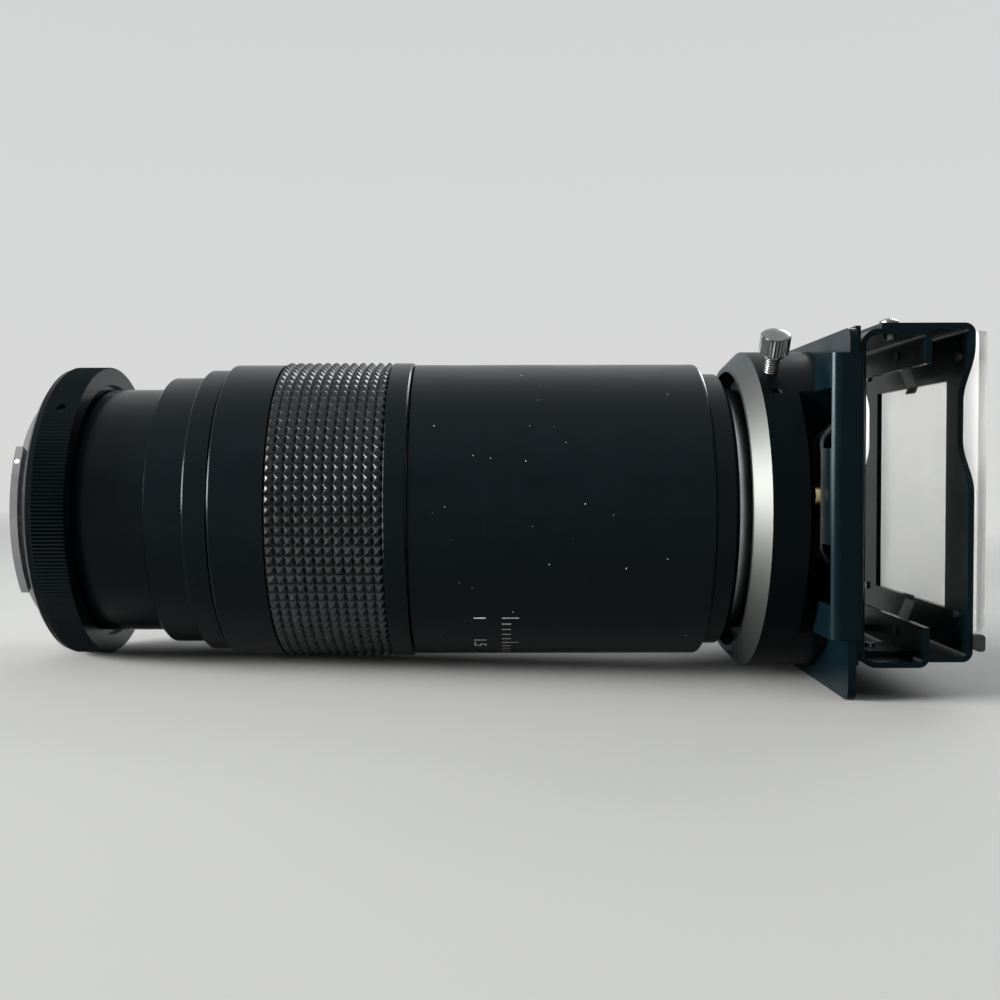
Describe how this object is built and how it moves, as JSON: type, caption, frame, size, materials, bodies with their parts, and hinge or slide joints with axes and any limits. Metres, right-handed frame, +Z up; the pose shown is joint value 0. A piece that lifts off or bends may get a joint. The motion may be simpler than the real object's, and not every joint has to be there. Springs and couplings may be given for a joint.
{
  "type": "zoom slide duplicator",
  "caption": "Zoom slide duplicator: a lens barrel with a camera bayonet, a turning zoom ring, and a turning, shifting slide stage with an opal diffuser.",
  "frame": {"origin": "on the optical axis, in the plane of the face that seats on the camera", "axes": "+X along the optical axis towards the slide, +Z up with the stage upright, -Y on the thumbscrew's side"},
  "size_m": [0.1896, 0.0736, 0.0732],
  "materials": {
    "black_satin": "satin black over aluminium",
    "black_matt": "matt black",
    "sheet_black": "semi-gloss black over sheet steel",
    "bayonet_chrome": "satin chrome",
    "nickel": "bright nickel",
    "screw_steel": "blackened steel",
    "spring_black": "blued spring steel",
    "spring_steel": "bright spring steel",
    "rivet_brass": "dull brass",
    "cam_brass": "turned brass",
    "tube_aluminium": "dark anodised aluminium",
    "grip_rubber": "matt moulded rubber",
    "lens_glass": "polished glass",
    "opal_plastic": "opal white"
  },
  "bodies": {
    "barrel": {"bayonet_flange": "bayonet_chrome", "mount_ring": "black_satin", "thread_ring": "black_satin", "mount_set_screws": "screw_steel", "rear_tube": "black_satin", "step_ring": "black_satin", "stop_ring": "black_satin", "guide_tube": "tube_aluminium", "main_barrel": "black_satin", "front_ring": "black_satin", "inner_tube": "tube_aluminium"},
    "zoom": {"zoom_ring": "black_satin", "rubber_grip": "grip_rubber", "cam_sleeve": "cam_brass", "cam_sleeve_screws": "screw_steel"},
    "lens": {"lens_cell": "black_matt", "front_lens": "lens_glass", "rear_lens": "lens_glass", "lens_retainers": "black_matt", "stop_plate": "black_matt", "cam_pins": "screw_steel"},
    "holder": {"holder_collar": "black_satin", "collar_set_screw": "screw_steel", "flange_plate": "sheet_black", "flange_screws": "black_matt"},
    "shoe": {"clamp_shoe": "cam_brass"},
    "thumbscrew": {"thumbscrew": "nickel"},
    "stage": {"stage_carrier": "sheet_black", "leaf_springs": "spring_black", "spring_rivets": "rivet_brass", "stage_bracket": "sheet_black", "carrier_rivets": "sheet_black", "gate_bracket": "sheet_black", "stage_screws": "screw_steel", "slide_springs": "spring_steel", "slide_spring_rivets": "spring_steel", "opal_diffuser": "opal_plastic", "diffuser_rail": "black_matt", "diffuser_screws": "screw_steel"}
  },
  "joints": [
    {"name": "zoom_turn", "type": "hinge", "parent": "barrel", "child": "zoom", "pos_m": [0.055, 0, 0], "axis": [1, 0, 0], "range_deg": [0, 80]},
    {"name": "lens_travel", "type": "slide", "parent": "barrel", "child": "lens", "axis": [1, 0, 0], "range_m": [0, 0.0161]},
    {"name": "holder_turn", "type": "hinge", "parent": "barrel", "child": "holder", "pos_m": [0.15, 0, 0], "axis": [1, 0, 0], "continuous": true},
    {"name": "shoe_travel", "type": "slide", "parent": "holder", "child": "shoe", "axis": [0, -0.5446, 0.8387], "range_m": [0, 0.001]},
    {"name": "thumbscrew_turn", "type": "hinge", "parent": "shoe", "child": "thumbscrew", "pos_m": [0.1479, 0, 0], "axis": [0, -0.5446, 0.8387], "range_deg": [0, 720.8]},
    {"name": "stage_shift", "type": "slide", "parent": "holder", "child": "stage", "axis": [0, 0, 1], "range_m": [-0.0105, 0.0035]}
  ],
  "couplings": [
    {"joint": "lens_travel", "follows": "zoom_turn", "m_per_rad": 0.011459},
    {"joint": "thumbscrew_turn", "follows": "shoe_travel", "rad_per_m": 12566}
  ]
}
